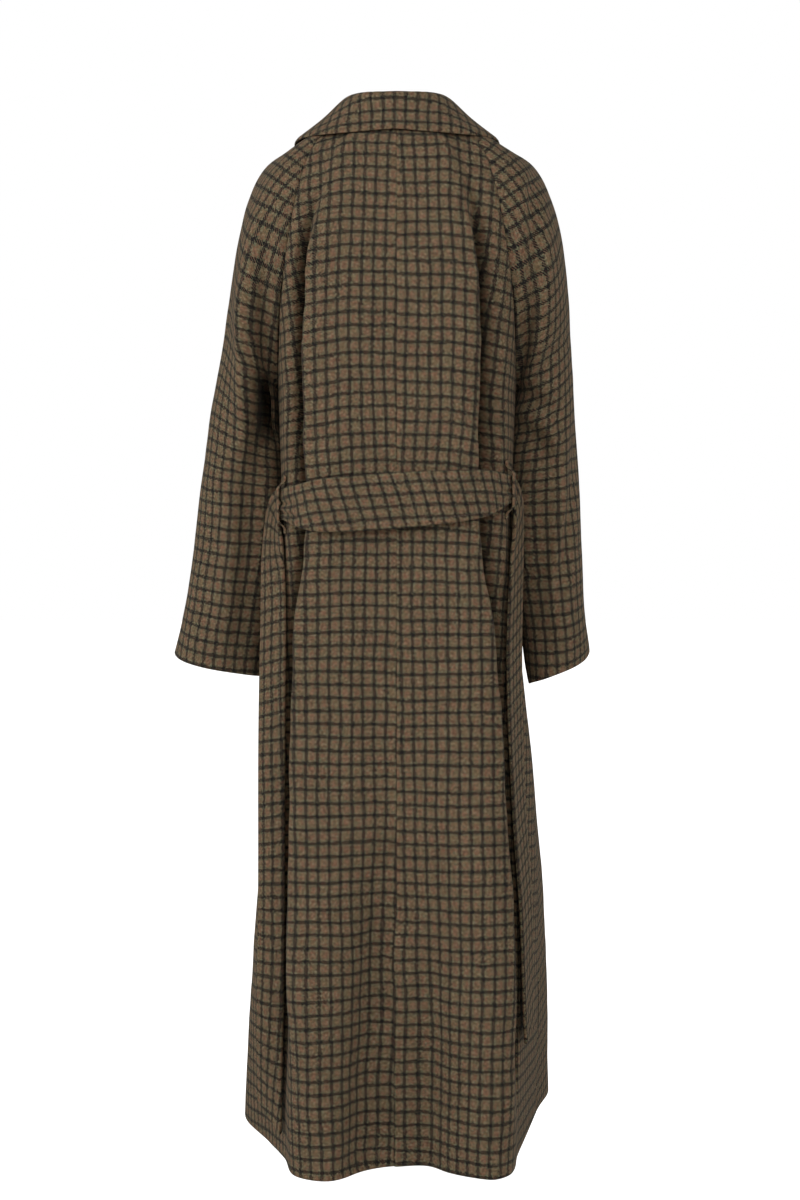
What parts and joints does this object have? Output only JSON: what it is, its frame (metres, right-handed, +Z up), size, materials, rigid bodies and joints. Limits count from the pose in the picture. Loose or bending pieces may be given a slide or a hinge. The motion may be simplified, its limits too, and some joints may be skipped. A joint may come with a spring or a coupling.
{
  "type": "maxi coat",
  "caption": "Long raglan-sleeved coat of checked wool with a turn-down collar, loose belt through side loops and a back vent, hollow and open at neck, cuffs and hem as worn.",
  "frame": {"origin": "middle of the neck base, level with the tops of the shoulders, where the wearer's shoulders carry the coat", "axes": "+Z up, +Y towards the back of the coat, +X towards the wearer's left"},
  "size_m": [0.542, 0.4416, 1.3317],
  "materials": {
    "tweed": "brushed wool check, matt",
    "belt_tweed": "brushed wool check, matt"
  },
  "bodies": {
    "root": {"back_left": "tweed", "back_right": "tweed", "front_left": "tweed", "front_right": "tweed", "sleeve_left_back": "tweed", "sleeve_left_front": "tweed", "sleeve_right_back": "tweed", "sleeve_right_front": "tweed", "vent_underlay": "tweed", "collar": "tweed", "belt": "belt_tweed", "belt_loop_left": "tweed", "belt_loop_right": "tweed"}
  },
  "joints": []
}
